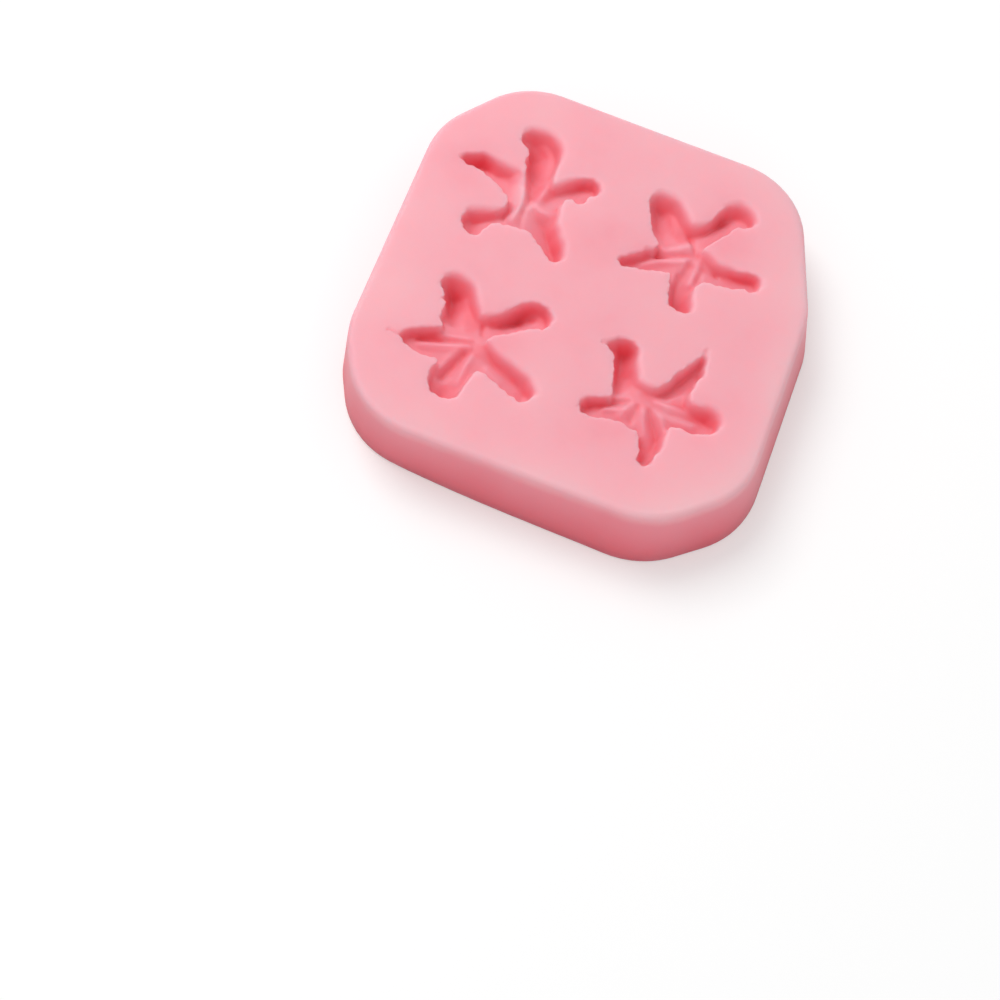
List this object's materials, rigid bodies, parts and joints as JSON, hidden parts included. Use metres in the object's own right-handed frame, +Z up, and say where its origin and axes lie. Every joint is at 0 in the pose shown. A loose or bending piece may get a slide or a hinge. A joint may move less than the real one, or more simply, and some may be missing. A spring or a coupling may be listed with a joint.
{
  "type": "silicone mould",
  "caption": "Low square block of soft pink silicone with cut corners and open five-petalled flower hollows in its top face, for casting small wax flowers.",
  "frame": {"origin": "middle of the flat underside, on the surface that the mould rests on", "axes": "+Z up out of the open face, -Y towards the viewer of the picture, +X to the right"},
  "size_m": [0.0788, 0.0788, 0.0143],
  "materials": {
    "pink_silicone": "smooth satin silicone, slightly translucent"
  },
  "bodies": {
    "root": {"mould_block": "pink_silicone"}
  },
  "joints": []
}
